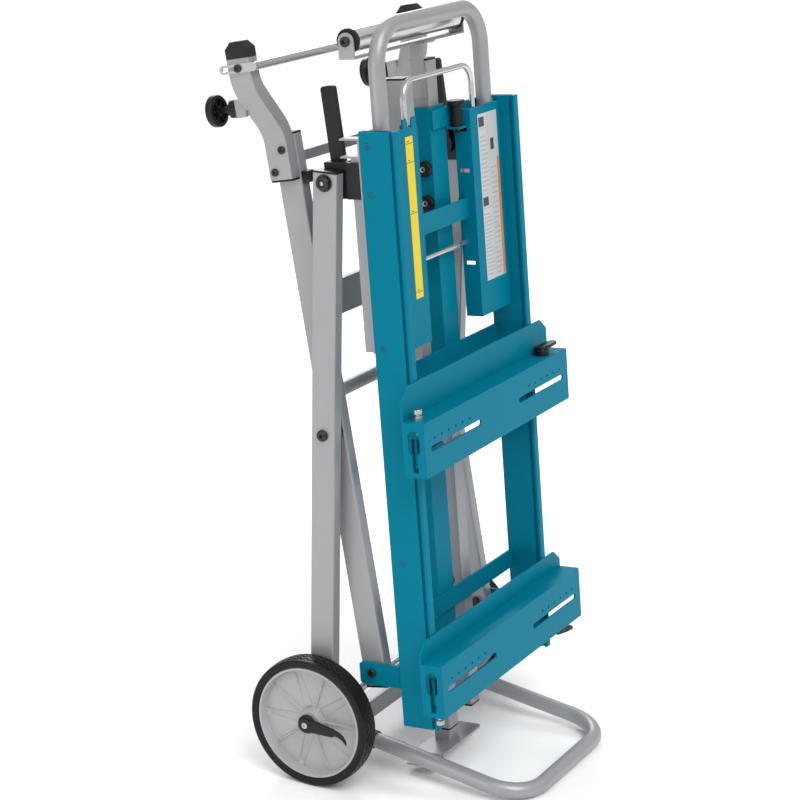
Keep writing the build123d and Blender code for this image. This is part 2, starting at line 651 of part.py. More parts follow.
def slider_block(side):
    """Black block on a wheel leg's top pivot that straddles the track's fin."""
    x0 = WHEEL_LEG_X - LEG_W / 2 - 0.5
    fin0 = TRACK_X0 + 4
    fin1 = fin0 + TRACK_T
    body = block(x0 - 22, x0, -24, 12, -27, 27)
    body = body - rod_x(x0 - 30, x0 + 1, PIN_D + 2 * PIN_CLEAR)
    jaw_in = block(fin0 - 5, fin0 - 0.4, -(TABLE_BACK - TRACK_T - 0.5), -20, -27, 27)
    jaw_out = block(fin1 + 0.4, fin1 + 3.4, -(TABLE_BACK - TRACK_T - 0.5), -28, -27, 27)
    bridge = block(fin0 - 5, x0, -(36 - 0.5), -20, -27, 27) + block(x0 - 1, fin1 + 3.4, -(36 - 0.5), -28, -27, 27)
    body = body + (jaw_in + jaw_out + bridge)
    if side < 0:
        body = body.mirror(Plane.YZ)
    return SLIDER * body


def lock_lever(side):
    """Fold-lock lever that turns on the wheel leg's top pivot."""
    x1 = WHEEL_LEG_X - LEG_W / 2 - 23.0
    x0 = x1 - 9
    hub = rod_x(x0, x1, 30)
    arm = block(x0, x1, -LEVER_W / 2, LEVER_W / 2, 0, LEVER_L)
    arm = fillet(arm.edges().filter_by(Axis.X).group_by(Axis.Z)[-1], 5)
    arm -= block(x0 - 1, x0 + 2, -2.5, 2.5, 20, LEVER_L - 8)
    lever = hub + Rot(-LEVER_LEAN, 0, 0) * arm
    lever -= rod_x(x0 - 1, x1 + 1, PIN_D + 2 * PIN_CLEAR)
    if side < 0:
        lever = lever.mirror(Plane.YZ)
    return SLIDER * lever


def handle():
    """U-shaped carrying handle with welded saddles that hold it against the rails."""
    tube = bent_tube([(-HANDLE_X, -HANDLE_N, HANDLE_LOW), (-HANDLE_X, -HANDLE_N, HANDLE_TOP),
                      (HANDLE_X, -HANDLE_N, HANDLE_TOP), (HANDLE_X, -HANDLE_N, HANDLE_LOW)],
                     HANDLE_R, HANDLE_D, HANDLE_WALL)
    for z in SADDLE_V:
        saddle = block(HANDLE_X, RAIL_IN - PLATE_T, *in_table(HANDLE_N - 6, HANDLE_N + 6), z - 8, z + 8)
        saddle -= rod_z(z - 20, z + 20, HANDLE_D - HANDLE_WALL, HANDLE_X, -HANDLE_N)
        tube = tube + saddle + saddle.mirror(Plane.YZ)
    return TABLE * tube


def wire_loop():
    """Small round-bar handle above the side plates."""
    n = PLATE_N - PLATE_T - WIRE_D / 2
    path = FilletPolyline((-WIRE_X, -n, WIRE_LOW), (-WIRE_X, -n, WIRE_TOP),
                          (WIRE_X, -n, WIRE_TOP), (WIRE_X, -n, WIRE_LOW), radius=WIRE_R)
    section = Plane(origin=path @ 0, z_dir=path % 0) * Circle(WIRE_D / 2)
    return TABLE * sweep(section, path)


# ---------------------------------------------------------------- saw brackets
BRACKET_BACK = RAIL_FRONT + GLIDE
HOOK_T = 3.0
HOOK_H = 34.0
HOOK_X = RAIL_OUT + 1.0
CAM_X = 188.0              # cam lever and its stud, right end
CLAMP_X = 222.0            # clamp bolt, left end
CLAMP_N = (BRACKET_BACK + BRACKET_N) / 2


def saw_bracket(v0, lip):
    """Folded sheet: slotted face, top flange with a lip on the rails, bottom return."""
    t = BRACKET_T
    half = BRACKET_L / 2
    top = v0 + BRACKET_H
    sheet = block(-half, half, *in_table(BRACKET_N - t, BRACKET_N), v0, top)
    sheet += block(-half, half, *in_table(BRACKET_BACK, BRACKET_N), top - t, top)
    sheet += block(-half, half, *in_table(BRACKET_BACK, BRACKET_BACK + t), top - t, top + lip)
    sheet += block(-half, half, *in_table(BRACKET_BACK, BRACKET_N), v0, v0 + t)
    sheet += block(-half, -half + t, *in_table(BRACKET_BACK, BRACKET_N), v0, top)
    sheet -= block(-half - 1, -half + t + 1, *in_table(CLAMP_N - 4, CLAMP_N + 5), v0 + 8, v0 + 66)
    for z in (44, 62):
        sheet -= rod_x(-half - 1, -half + t + 1, 19, -CLAMP_N, v0 + z)
    sheet -= block(-half - 1, -half + t + 1, *in_table(CLAMP_N - 9.5, CLAMP_N + 9.5), v0 + 44, v0 + 62)
    for s in (-1, 1):
        notch = Pos(s * half, 0, top + lip) * Rot(0, s * 40, 0) * Box(70, 100, 26)
        sheet -= Pos(0, -BRACKET_BACK, 0) * notch
        cut = block(s * SLOT_X - SLOT_L / 2 + SLOT_H / 2, s * SLOT_X + SLOT_L / 2 - SLOT_H / 2,
                    -BRACKET_N - 1, -BRACKET_N + t + 1, v0 + 41 - SLOT_H / 2, v0 + 41 + SLOT_H / 2)
        for e in (-1, 1):
            x = s * SLOT_X + e * (SLOT_L - SLOT_H) / 2
            cut += rod_y(-BRACKET_N - 1, -BRACKET_N + t + 1, SLOT_H, x, v0 + 41)
        sheet -= cut
        for i in range(SAW_HOLES):
            x = s * (SLOT_X + (i - (SAW_HOLES - 1) / 2) * SAW_HOLE_PITCH + 12)
            sheet -= rod_y(-BRACKET_N - 1, -BRACKET_N + t + 1, SAW_HOLE_D, x, v0 + 56)
    for z in clamp_level(v0):
        sheet -= rod_z(z - t - 1, z + t + 1, 8.4, CAM_X, -CLAMP_N)
        sheet -= rod_z(z - t - 1, z + t + 1, 8.4, -CLAMP_X, -CLAMP_N)
    return TABLE * sheet


def clamp_level(v0):
    """Height of the flange that carries a bracket's clamps: the top one above, the bottom one on the lower bracket."""
    return (v0,) if v0 < 0 else (v0 + BRACKET_H,)


def on_flange(part, v0):
    """Turns a clamp part made for the top flange over onto the lower bracket's bottom flange."""
    return part.mirror(Plane.XY.offset(v0 + BRACKET_H / 2)) if v0 < 0 else part


def bracket_hooks(v0):
    """Hooks that reach round the rails' outer sides into their T-slots."""
    top = v0 + BRACKET_H - BRACKET_T
    slot_n = TABLE_BACK + SLOT_FROM_BACK
    arm = block(HOOK_X, HOOK_X + HOOK_T, *in_table(slot_n + 0.6, BRACKET_N - BRACKET_T), top - HOOK_H, top)
    toe = block(RAIL_OUT - SLOT_DEPTH + 0.6, HOOK_X, *in_table(slot_n + 0.6, slot_n + SLOT_W - 0.6),
                top - HOOK_H, top)
    foot = block(HOOK_X, BRACKET_L / 2, *in_table(BRACKET_BACK, BRACKET_N - BRACKET_T), top - 3, top)
    hook = arm + toe + foot
    left = hook.mirror(Plane.YZ) - block(-BRACKET_L / 2, -BRACKET_L / 2 + BRACKET_T, -BRACKET_N, 0,
                                         top - 50, top + 10)
    left -= rod_z(top - 4, top + 1, 8.4, -CLAMP_X, -CLAMP_N)
    return group([TABLE * hook, TABLE * left])


def clamp_bolt(v0):
    """Clamp bolt and nut at a bracket's left end."""
    top = v0 + BRACKET_H
    head = rod_z(top + 9, top + 17, 13.5)
    head = fillet(head.edges().filter_by(GeomType.CIRCLE), 1.5)
    head -= Pos(0, 0, top + 12) * extrude(RegularPolygon(3.6, 6), 6)
    bolt = head + rod_z(top - 22, top + 10, 8) + rod_z(top, top + 2, 15)
    nut = Pos(0, 0, top + 2) * extrude(RegularPolygon(6.8, 6), 5)
    return TABLE * on_flange(Pos(-CLAMP_X, -CLAMP_N, 0) * (bolt + nut), v0)


def cam_lever(v0):
    """Black cam lever with its round base, at a bracket's right end."""
    top = v0 + BRACKET_H
    base = rod_z(top + 0.4, top + 11, 24)
    base = fillet(base.edges().filter_by(GeomType.CIRCLE).sort_by(Axis.Z)[-1], 2)
    arm = extrude(Polygon((-10, -8), (14, -9), (31, -7), (35, 0), (31, 7), (14, 9), (-10, 8), align=None), 5)
    lever = base + Pos(0, 0, top + 10) * Rot(0, -4, 0) * arm
    lever -= rod_z(top - 1, top + 8, 8 + 2 * PIN_CLEAR)
    return TABLE * on_flange(Pos(CAM_X, -CLAMP_N, 0) * Rot(0, 0, -12) * lever, v0)


def cam_stud(v0):
    top = v0 + BRACKET_H
    stud = rod_z(top - 16, top + 7, 8) + rod_z(top - 16, top - BRACKET_T - 3, 14)
    return TABLE * on_flange(Pos(CAM_X, -CLAMP_N, 0) * stud, v0)


# ---------------------------------------------------------------- extension arms
def arm_tube(side, low, high):
    x = side * ARM_X
    return TABLE * box_tube(ARM_TUBE, ARM_TUBE, ARM_WALL, low, high, x, -ARM_N, corner=2.5)


def arm_plugs(side, *ends):
    x = side * ARM_X
    return group([TABLE * tube_plug(ARM_TUBE, ARM_TUBE, ARM_WALL, z, up, x, -ARM_N)
                  for z, up in ends])


ROLLER_PIN_D = 8.0


def roller_yoke():
    """Base channel and ears under the roller, on a strap welded to the right extension tube."""
    base_v = ROLLER_ARM_HIGH + EAR_T
    y = -ROLLER_N
    base = block(-ROLLER_EAR_X - EAR_T, ROLLER_EAR_X + EAR_T, y - 13, y + 13, base_v - EAR_T, base_v)
    base += block(ARM_X - ARM_TUBE / 2, ARM_X + ARM_TUBE / 2, -ARM_N - ARM_TUBE / 2, y, base_v - EAR_T, base_v)
    ear = block(ROLLER_EAR_X, ROLLER_EAR_X + EAR_T, y - 13, y + 13, base_v, ROLLER_V)
    ear += rod_x(ROLLER_EAR_X, ROLLER_EAR_X + EAR_T, 26, y, ROLLER_V)
    side_x = ARM_X - ARM_TUBE / 2
    strap = block(side_x - EAR_T, side_x, -ARM_N - 11, -ARM_N + 11, ROLLER_TUBE_HIGH - 56, base_v)
    ear -= rod_x(ROLLER_EAR_X - 1, ROLLER_EAR_X + EAR_T + 1, ROLLER_PIN_D, y, ROLLER_V)
    return TABLE * (base + ear + ear.mirror(Plane.YZ) + strap)


def roller_pin():
    """Fixed pin through the ears, with a round head outside each."""
    y = -ROLLER_N
    x = ROLLER_EAR_X + EAR_T
    head = rod_x(x, x + 5.5, 15, y, ROLLER_V)
    head = fillet(head.edges().filter_by(GeomType.CIRCLE).sort_by(Axis.X)[-1], 2.0)
    head -= extrude(Plane.YZ.offset(x + 2.5) * Pos(y, ROLLER_V) * RegularPolygon(3.4, 6), 4)
    return TABLE * (rod_x(-x, x, ROLLER_PIN_D, y, ROLLER_V) + head + head.mirror(Plane.YZ))


def roller():
    """Steel roller with a black end ring at each end."""
    half = ROLLER_L / 2
    place = TABLE * Pos(0, -ROLLER_N, ROLLER_V)
    tube = rod_x(-half, half, ROLLER_D) - rod_x(-half - 1, half + 1, ROLLER_D - 4)
    ring = rod_x(half, half + 5, ROLLER_D + 1) + rod_x(half - 12, half, ROLLER_D - 4)
    ring -= rod_x(half - 13, half + 6, ROLLER_PIN_D + 2 * PIN_CLEAR)
    return group([place * tube] + both_sides(place * ring))


BOSS_H = 19.0
SUPPORT_HALF = 66.0


def support_plate():
    """Bent work-support plate under the left extension tube, with a boss on the tube's end."""
    top = SUPPORT_ARM_LOW - CAP_T
    v = top - BOSS_H
    x0, x1 = -ARM_X - SUPPORT_HALF, -ARM_X + SUPPORT_HALF
    sheet = block(x0, x1, *in_table(15, 68), v - 3, v)
    corners = sheet.edges().filter_by(Axis.Z).sort_by(Axis.X)[-2:]
    sheet = fillet(corners, 8)
    ear = block(x0, x0 + 3, *in_table(15, 68), v - 14, v - 1) + block(x0 - 24, x0 + 3, *in_table(15, 68), v - 14, v - 11)
    boss = Pos(-ARM_X, -ARM_N, v - 1) * extrude(RectangleRounded(ARM_TUBE - 1, ARM_TUBE - 1, 2.5), BOSS_H + 1)
    return TABLE * (sheet + ear + boss)


def plunger_knob():
    """Black plunger knob that releases the right extension arm; its stub sits in the upper tie's shelf."""
    knob = rod_z(SHELF_V + 33, SHELF_V + 41, 29, SHELF_X, -SHELF_N)
    knob = fillet(knob.edges().filter_by(GeomType.CIRCLE), 2)
    knob += rod_z(SHELF_V, SHELF_V + 33, 17, SHELF_X, -SHELF_N)
    return TABLE * (knob + rod_z(SHELF_V - 10, SHELF_V, 9, SHELF_X, -SHELF_N))


# ---------------------------------------------------------------- all nodes
def nodes():
    made = {
        "wheel_leg_left": wheel_leg(-1),
        "wheel_leg_right": wheel_leg(1),
        "wheel_leg_plugs": wheel_leg_plugs(),
        "axle": axle(),
        "foot_loop": foot_loop(),
        "loop_sleeves": loop_sleeves(),
        "top_pivot_bolts": top_pivot_bolts(),
        "foot_leg_left": foot_leg(-1),
        "foot_leg_right": foot_leg(1),
        "foot_leg_plugs": foot_leg_plugs(),
        "foot_bar_left": foot_bar(-1),
        "foot_bar_right": foot_bar(1),
        "foot_tips": foot_tips(),
        "bar_bolts": bar_bolts(),
        "foot_rod": foot_rod(),
        "cross_members": cross_members(),
        "centre_bolts": centre_bolts(),
        "leg_spacers": leg_spacers(),
        "lock_knobs": lock_knobs(),
        "rail_left": rail(-1),
        "rail_right": rail(1),
        "lower_bolts": lower_bolts(),
        "scale_plate": side_plate(-1),
        "label_plate": side_plate(1),
        "scale_and_label": scale_and_label(),
        "cross_bar": cross_bar(),
        "tie_rod": tie_rod(),
        "guide_channel_upper": guide_channel(1, *UPPER_CHANNEL),
        "guide_channel_lower": guide_channel(-1, *LOWER_CHANNEL),
        "guide_blocks": guide_blocks(),
        "channel_ties": channel_ties(),
        "slide_tracks": group([slide_track(-1), slide_track(1)]),
        "handle": handle(),
        "wire_loop": wire_loop(),
        "tyre_left": tyre(-1),
        "tyre_right": tyre(1),
        "rim_left": rim(-1),
        "rim_right": rim(1),
        "hub_lever_left": hub_lever(-1),
        "hub_lever_right": hub_lever(1),
        "levelling_foot_left": levelling_foot(-1),
        "levelling_foot_right": levelling_foot(1),
        "slider_blocks": group([slider_block(-1), slider_block(1)]),
        "lock_lever_left": lock_lever(-1),
        "lock_lever_right": lock_lever(1),
        "roller_tube": arm_tube(1, ROLLER_ARM_LOW, ROLLER_TUBE_HIGH),
        "roller_tube_plugs": arm_plugs(1, (ROLLER_ARM_LOW, -1), (ROLLER_TUBE_HIGH, 1)),
        "roller_yoke": roller_yoke(),
        "roller_pin": roller_pin(),
        "roller": roller(),
        "support_tube": arm_tube(-1, SUPPORT_ARM_LOW, SUPPORT_ARM_HIGH),
        "support_tube_plugs": arm_plugs(-1, (SUPPORT_ARM_LOW, -1), (SUPPORT_ARM_HIGH, 1)),
        "support_plate": support_plate(),
        "plunger_knob": plunger_knob(),
    }
    for name, v0, lip in (("upper", BRACKET_UPPER_V, UPPER_LIP), ("lower", BRACKET_LOWER_V, LOWER_LIP)):
        made[name + "_bracket"] = group([saw_bracket(v0, lip), bracket_hooks(v0)])
        made[name + "_bracket_bolts"] = group([clamp_bolt(v0), cam_stud(v0)])
        made[name + "_cam_lever"] = cam_lever(v0)
    return made


def centred(made):
    """Moves every node so that the origin lies under the middle of the whole stand."""
    box = Compound(children=[Compound(children=shape.solids()) for shape in made.values()]).bounding_box()
    shift = Pos(0, -(box.min.Y + box.max.Y) / 2, 0)
    return {name: shift * shape for name, shape in made.items()}, shift.position.Y


if __name__ == "__main__":
    os.makedirs("parts", exist_ok=True)
    shapes, shift_y = centred(nodes())
    for name, shape in shapes.items():
        export_step(shape, f"parts/{name}.step")
    print(f"{len(shapes)} nodes, moved {shift_y:.3f} mm along Y")
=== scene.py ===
import json
import math

import bmesh
import bpy
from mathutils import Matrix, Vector


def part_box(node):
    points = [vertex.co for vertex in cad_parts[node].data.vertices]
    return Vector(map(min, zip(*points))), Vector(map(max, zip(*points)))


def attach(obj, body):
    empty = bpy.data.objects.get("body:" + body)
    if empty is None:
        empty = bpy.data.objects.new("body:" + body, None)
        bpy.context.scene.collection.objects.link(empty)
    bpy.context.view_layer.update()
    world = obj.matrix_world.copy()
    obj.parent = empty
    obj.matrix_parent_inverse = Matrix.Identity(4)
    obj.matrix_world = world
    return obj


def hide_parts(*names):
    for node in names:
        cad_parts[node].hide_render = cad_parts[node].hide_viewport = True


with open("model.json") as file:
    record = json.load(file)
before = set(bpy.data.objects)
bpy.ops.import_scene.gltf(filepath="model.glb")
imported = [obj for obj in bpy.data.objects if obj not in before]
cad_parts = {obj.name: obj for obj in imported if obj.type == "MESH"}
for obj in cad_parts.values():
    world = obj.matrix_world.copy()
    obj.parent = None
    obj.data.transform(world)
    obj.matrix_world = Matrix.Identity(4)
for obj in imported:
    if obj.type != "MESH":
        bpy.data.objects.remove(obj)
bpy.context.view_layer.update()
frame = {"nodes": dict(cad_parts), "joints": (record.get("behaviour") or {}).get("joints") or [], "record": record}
NODES = frame["nodes"]
JOINTS = {j["name"]: j for j in frame["joints"]}
MM = 0.001
SIDES = ((-1, "left"), (1, "right"))

# The table's own directions: UP runs up the rails, OUT points away from the legs.
UP = Vector(JOINTS["upper_bracket_slide"]["axis"]).normalized()
OUT = Vector((0, -UP.z, UP.y))
PIVOT = Vector(JOINTS["table_tilt"]["pos_m"])
TOP_PIVOT = Vector(JOINTS["slider_turn"]["pos_m"])
AXLE = Vector(JOINTS["wheel_left_spin"]["pos_m"])


def table(x, v, n):
    """Point across the stand, up the table and in front of its lower pivot, all in millimetres."""
    return PIVOT + Vector((x, 0, 0)) * MM + UP * (v * MM) + OUT * (n * MM)


# ---------------------------------------------------------------- camera, floor, light
CAMERA_FROM_AXLE = Vector((-3.0232, -1.7371, 1.5061))
CAMERA_AZIMUTH = -60.45    # degrees, the way the camera faces about Z
CAMERA_PITCH = 73.3        # degrees, 90 is level
CAMERA_LENS = 103.1


def make_camera():
    data = bpy.data.cameras.new("camera")
    data.lens = CAMERA_LENS
    data.clip_end = 100
    camera = bpy.data.objects.new("camera", data)
    camera.location = AXLE + CAMERA_FROM_AXLE
    camera.rotation_euler = [math.radians(a) for a in (CAMERA_PITCH, 0, CAMERA_AZIMUTH)]
    bpy.context.scene.collection.objects.link(camera)
    bpy.context.scene.camera = camera


def add_light(name, place, size, power):
    """Round soft light that faces LIGHT_TARGET."""
    data = bpy.data.lights.new(name, "AREA")
    data.shape = "DISK"
    data.size = size
    data.energy = power
    light = bpy.data.objects.new(name, data)
    light.location = place
    light.rotation_euler = (Vector(LIGHT_TARGET) - Vector(place)).to_track_quat("-Z", "Y").to_euler()
    bpy.context.scene.collection.objects.link(light)


WORLD_LOW = 0.5            # studio brightness at the horizon, as a share of that overhead
WORLD_POWER = 0.8
HORIZON = 0.5              # places on the brightness ramp, which runs from 0 below to 1 overhead
FULL_BRIGHT = 0.8
LIGHT_TARGET = (0, 0, 0.6)
AREA_LIGHTS = (("fill", (-3.4, 0.9, 1.4), 2.0, 16), ("rim", (2.6, 2.0, 2.6), 1.4, 50))
KEY_FROM = (-0.55, -0.9, 1.25)
KEY_POWER = 1.5
KEY_ANGLE = 35             # degrees across, for soft shadow edges
FLOOR_HALF = 30.0          # metres


def make_world():
    """White studio, brighter overhead than at the horizon, so that metals have something to show."""
    world = bpy.data.worlds.new("studio")
    bpy.context.scene.world = world
    world.use_nodes = True
    tree = world.node_tree
    way = tree.nodes.new("ShaderNodeTexCoord")
    split = tree.nodes.new("ShaderNodeSeparateXYZ")
    ramp = tree.nodes.new("ShaderNodeValToRGB")
    bands = tree.nodes.new("ShaderNodeMapRange")
    bands.inputs["From Min"].default_value = -1
    link(tree, way.outputs["Generated"], split.inputs["Vector"])
    link(tree, split.outputs["Z"], bands.inputs["Value"])
    link(tree, bands.outputs["Result"], ramp.inputs["Fac"])
    ramp.color_ramp.elements[0].position = HORIZON
    ramp.color_ramp.elements[0].color = (WORLD_LOW, WORLD_LOW, WORLD_LOW, 1)
    ramp.color_ramp.elements[1].position = FULL_BRIGHT
    ramp.color_ramp.elements[1].color = (1, 1, 1, 1)
    link(tree, ramp.outputs["Color"], tree.nodes["Background"].inputs["Color"])
    tree.nodes["Background"].inputs["Strength"].default_value = WORLD_POWER


def add_sun(name, comes_from, power, angle):
    data = bpy.data.lights.new(name, "SUN")
    data.energy = power
    data.angle = math.radians(angle)
    light = bpy.data.objects.new(name, data)
    light.rotation_euler = Vector(comes_from).to_track_quat("Z", "Y").to_euler()
    bpy.context.scene.collection.objects.link(light)


def make_stage():
    bpy.context.scene.view_settings.view_transform = "Standard"
    make_world()
    add_sun("key", KEY_FROM, KEY_POWER, KEY_ANGLE)
    for where in AREA_LIGHTS:
        add_light(*where)
    mesh = bpy.data.meshes.new("floor")
    signs = ((-1, -1), (1, -1), (1, 1), (-1, 1))
    mesh.from_pydata([(x * FLOOR_HALF, y * FLOOR_HALF, 0) for x, y in signs], [], [(0, 1, 2, 3)])
    floor = bpy.data.objects.new("floor", mesh)
    bpy.context.scene.collection.objects.link(floor)
    paint = surface("floor_paint", (0.97, 0.97, 0.97), rough=0.8, vary=0.005, vary_size=2.0)
    mesh.materials.append(paint)


# ---------------------------------------------------------------- materials
def link(tree, out, into):
    tree.links.new(out, into)


COAT_ROUGH = 0.1
FLECK_SIZE = 0.0009        # metres


def surface(name, colour, rough=0.4, metal=0.0, vary=0.04, vary_size=0.05, grain=0.0,
            grain_size=0.001, coat=0.0, rough_vary=0.05, stretch=(1, 1, 1), fleck=0.0,
            round_edge=0.0, shine=0.5):
    """Node material whose colour and roughness wander slowly, with a fine bump grain.
    Sizes are in metres. stretch draws the grain out along an axis, fleck is the strength of
    a fine sparkle, round_edge softens edges in the shading and shine is the specular level."""
    mat = bpy.data.materials.new(name)
    mat.use_nodes = True
    tree = mat.node_tree
    shader = tree.nodes["Principled BSDF"]
    shader.inputs["Metallic"].default_value = metal
    shader.inputs["Specular IOR Level"].default_value = shine
    shader.inputs["Coat Weight"].default_value = coat
    shader.inputs["Coat Roughness"].default_value = COAT_ROUGH
    place = tree.nodes.new("ShaderNodeTexCoord")
    # stretch draws out the colour's wander as well as the grain. On bright steel these drawn-out colour streaks
    # are painted reflection.
    scale = tree.nodes.new("ShaderNodeMapping")
    scale.inputs["Scale"].default_value = stretch
    link(tree, place.outputs["Object"], scale.inputs["Vector"])
    wander = tree.nodes.new("ShaderNodeTexNoise")
    wander.inputs["Scale"].default_value = 1 / vary_size
    wander.inputs["Detail"].default_value = 5
    wander.inputs["Roughness"].default_value = 0.6
    link(tree, scale.outputs["Vector"], wander.inputs["Vector"])
    shade = tree.nodes.new("ShaderNodeMix")
    shade.data_type = "RGBA"
    low = [c * (1 - vary) for c in colour]
    high = [min(1, c * (1 + vary)) for c in colour]
    shade.inputs["A"].default_value = (*low, 1)
    shade.inputs["B"].default_value = (*high, 1)
    link(tree, wander.outputs["Fac"], shade.inputs["Factor"])
    colour_out = shade.outputs["Result"]
    if fleck:
        dots = tree.nodes.new("ShaderNodeTexNoise")
        dots.inputs["Scale"].default_value = 1 / FLECK_SIZE
        link(tree, place.outputs["Object"], dots.inputs["Vector"])
        sparkle = tree.nodes.new("ShaderNodeMix")
        sparkle.data_type = "RGBA"
        sparkle.blend_type = "OVERLAY"
        sparkle.inputs["Factor"].default_value = fleck
        link(tree, colour_out, sparkle.inputs["A"])
        link(tree, dots.outputs["Fac"], sparkle.inputs["B"])
        colour_out = sparkle.outputs["Result"]
    link(tree, colour_out, shader.inputs["Base Color"])
    gloss = tree.nodes.new("ShaderNodeMapRange")
    gloss.inputs["To Min"].default_value = max(0.02, rough - rough_vary)
    gloss.inputs["To Max"].default_value = min(1, rough + rough_vary)
    link(tree, wander.outputs["Fac"], gloss.inputs["Value"])
    link(tree, gloss.outputs["Result"], shader.inputs["Roughness"])
    normal = None
    if round_edge:
        bevel = tree.nodes.new("ShaderNodeBevel")
        bevel.samples = 4
        bevel.inputs["Radius"].default_value = round_edge
        normal = bevel.outputs["Normal"]
    if grain:
        fine = tree.nodes.new("ShaderNodeTexNoise")
        fine.inputs["Scale"].default_value = 1 / grain_size
        fine.inputs["Detail"].default_value = 3
        link(tree, scale.outputs["Vector"], fine.inputs["Vector"])
        bump = tree.nodes.new("ShaderNodeBump")
        bump.inputs["Strength"].default_value = grain
        bump.inputs["Distance"].default_value = grain_size * 0.3
        link(tree, fine.outputs["Fac"], bump.inputs["Height"])
        if normal:
            link(tree, normal, bump.inputs["Normal"])
        normal = bump.outputs["Normal"]
    if normal:
        link(tree, normal, shader.inputs["Normal"])
    return mat


TEAL = surface("teal_paint", (0.0, 0.178, 0.27), rough=0.38, vary=0.05, vary_size=0.12, grain=0.25,
               grain_size=0.0016, shine=0.05, round_edge=0.0008)
SILVER = surface("silver_paint", (0.335, 0.34, 0.352), rough=0.38, metal=0.35, vary=0.03, vary_size=0.1,
                 grain=0.2, grain_size=0.0011, fleck=0.12, round_edge=0.0010)
# Bright steel: its colour wander is drawn out along X by stretch, which paints reflection streaks into the colour
# in place of reflected dark bands. The drawn-out bump grain is the steel's real brushed grain.
BRIGHT = surface("bright_steel", (0.62, 0.63, 0.64), rough=0.24, metal=0.9, vary=0.05, vary_size=0.02,
                 grain=0.15, grain_size=0.0012, stretch=(0.06, 1, 1))
ZINC = surface("zinc_steel", (0.45, 0.46, 0.47), rough=0.3, metal=0.9, vary=0.1, vary_size=0.004,
               grain=0.1, grain_size=0.0008)
DARK = surface("dark_steel", (0.03, 0.03, 0.032), rough=0.28, metal=0.5, vary=0.15, vary_size=0.004,
               grain=0.1, grain_size=0.0008)
TYRE = surface("tyre_rubber", (0.007, 0.007, 0.0075), rough=0.4, shine=0.22, vary=0.25,
               vary_size=0.03, grain=0.3, grain_size=0.0012, rough_vary=0.12)
RIM = surface("rim_plastic", (0.385, 0.39, 0.402), rough=0.42, vary=0.03, vary_size=0.04, grain=0.15,
              grain_size=0.0009)
RUBBER = surface("black_rubber", (0.02, 0.02, 0.021), rough=0.6, shine=0.2, vary=0.2,
                 vary_size=0.02, grain=0.3, grain_size=0.001)
PLASTIC = surface("black_plastic", (0.009, 0.009, 0.0095), rough=0.34, shine=0.28, vary=0.2,
                  vary_size=0.01, grain=0.3, grain_size=0.0009, round_edge=0.0006)
YELLOW = surface("scale_film", (0.76, 0.58, 0.003), rough=0.35, vary=0.03, vary_size=0.03, shine=0.3)
WHITE = surface("label_film", (0.52, 0.53, 0.53), rough=0.4, vary=0.03, vary_size=0.02, coat=0.2)
TRACK = surface("galvanised_track", (0.3, 0.305, 0.315), rough=0.45, metal=0.45, vary=0.06,
                vary_size=0.02, grain=0.15, grain_size=0.0012)
GREY_INK = surface("grey_ink", (0.36, 0.37, 0.37), rough=0.45, vary=0.1, vary_size=0.003)
DARK_INK = surface("dark_ink", (0.05, 0.05, 0.05), rough=0.45, vary=0.1, vary_size=0.003)
ORANGE_INK = surface("orange_ink", (0.78, 0.2, 0.04), rough=0.4, vary=0.06, vary_size=0.01)

SLOT_LOOKS = {"teal_paint": TEAL, "teal_rail": TEAL, "silver_paint": SILVER, "tube_aluminium": SILVER,
              "bright_steel": BRIGHT, "zinc_steel": ZINC, "dark_steel": DARK, "tyre_rubber": TYRE,
              "rim_plastic": RIM, "black_rubber": RUBBER, "black_plastic": PLASTIC,
              "label_film": WHITE}
# Nodes that look different from the rest of their slot.
NODE_LOOKS = {"slide_tracks": TRACK, "foot_rod": ZINC}


def dress_nodes():
    """Gives every CAD node its own look, or else the look of its slot in the record."""
    for part in frame["record"]["subparts"]:
        materials = NODES[part["node"]].data.materials
        if not len(materials):
            materials.append(None)
        for i in range(len(materials)):
            materials[i] = NODE_LOOKS.get(part["node"], SLOT_LOOKS[part["material_slot"]])


# ---------------------------------------------------------------- mesh helpers
SHARP_ANGLE = 35           # degrees; smooth shading stops at sharper edges


def new_object(name, verts, faces, looks, body, smooth=True, look_index=None):
    mesh = bpy.data.meshes.new(name)
    mesh.from_pydata([tuple(v) for v in verts], [], faces)
    for look in looks:
        mesh.materials.append(look)
    if look_index:
        mesh.polygons.foreach_set("material_index", look_index)
    work = bmesh.new()
    work.from_mesh(mesh)
    bmesh.ops.recalc_face_normals(work, faces=work.faces)
    work.to_mesh(mesh)
    work.free()
    if smooth:
        mesh.shade_smooth()
        mesh.set_sharp_from_angle(angle=math.radians(SHARP_ANGLE))
    obj = bpy.data.objects.new(name, mesh)
    bpy.context.scene.collection.objects.link(obj)
    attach(obj, body)
    return obj


def add_mesh(verts, faces, more_verts, more_faces):
    """Adds a mesh to the lists verts and faces; gives back the index of its first vertex."""
    start = len(verts)
    verts += more_verts
    faces += [tuple(i + start for i in face) for face in more_faces]
    return start


def ring_grid(rows, columns, point, closed_rows=False):
    """Vertices and quads of a surface that closes round its columns, and round its rows too
    with closed_rows; point(row, column) places each vertex."""
    verts = [point(r, c) for r in range(rows) for c in range(columns)]
    faces = []
    for r in range(rows if closed_rows else rows - 1):
        below = (r + 1) % rows
        for c in range(columns):
            d = (c + 1) % columns
            faces.append((r * columns + c, r * columns + d, below * columns + d, below * columns + c))
    return verts, faces


def lathe(profile, centre, axis, columns=64, close=False):
    """Turns (along, radius) points, in millimetres, about an axis through centre. With close,
    the last point joins the first."""
    axis = Vector(axis).normalized()
    side = axis.orthogonal().normalized()
    other = axis.cross(side)

    def point(r, c):
        a = 2 * math.pi * c / columns
        along, radius = profile[r]
        return centre + (axis * along + (side * math.cos(a) + other * math.sin(a)) * radius) * MM
    return ring_grid(len(profile), columns, point, close)


